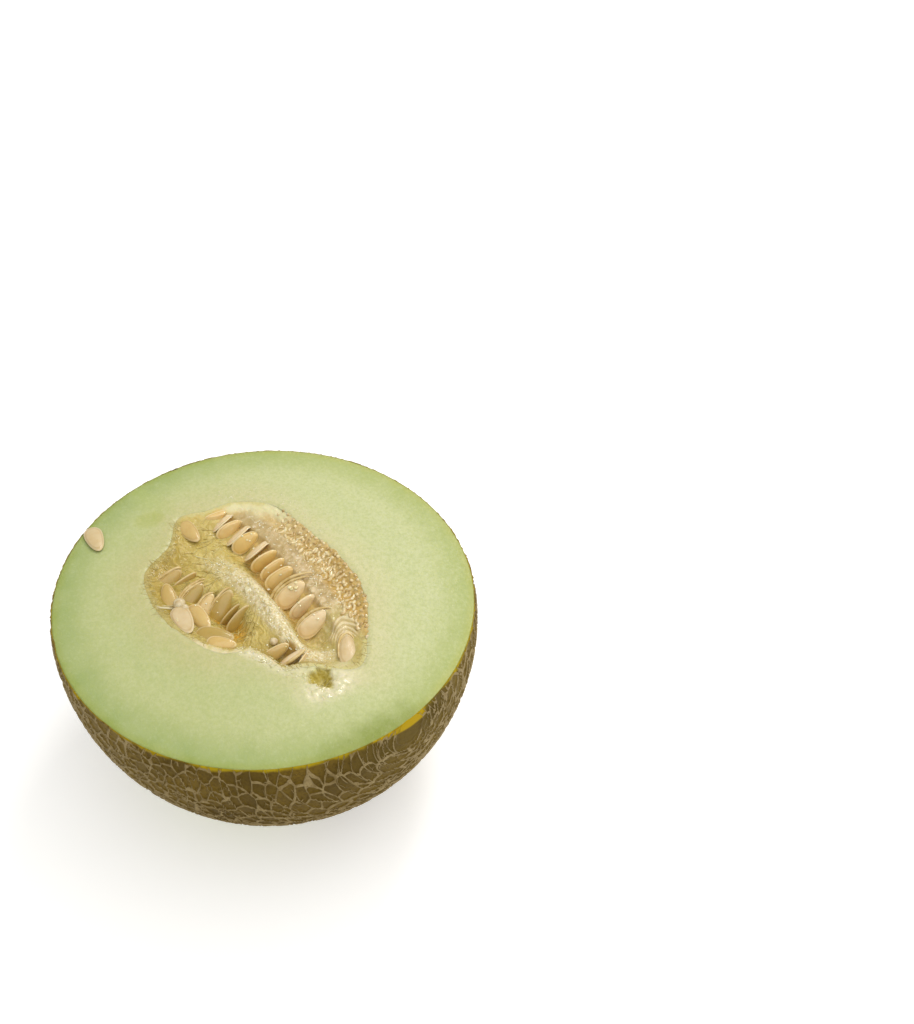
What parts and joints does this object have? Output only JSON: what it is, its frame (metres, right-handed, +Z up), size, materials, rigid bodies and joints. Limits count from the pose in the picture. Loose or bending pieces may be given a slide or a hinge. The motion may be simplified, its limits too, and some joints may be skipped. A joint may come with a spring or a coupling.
{
  "type": "galia melon half",
  "caption": "Half of a netted, green-fleshed melon cut from end to end, standing on its rind with the cut face and its hollow of wet seeds facing up.",
  "frame": {"origin": "middle of the small flat spot that the half stands on, under the middle of its box", "axes": "+X along the fruit from end to end, +Z up out of the cut face, +Y across the fruit"},
  "size_m": [0.1404, 0.13, 0.0726],
  "materials": {
    "flesh": "wet, pale green to cream melon flesh",
    "pulp": "wet, translucent fibrous pulp",
    "seed": "wet, smooth seed coat",
    "rind": "dry skin with a raised corky net"
  },
  "bodies": {
    "root": {"melon_flesh": "flesh", "seed_heart": "pulp"}
  },
  "joints": []
}
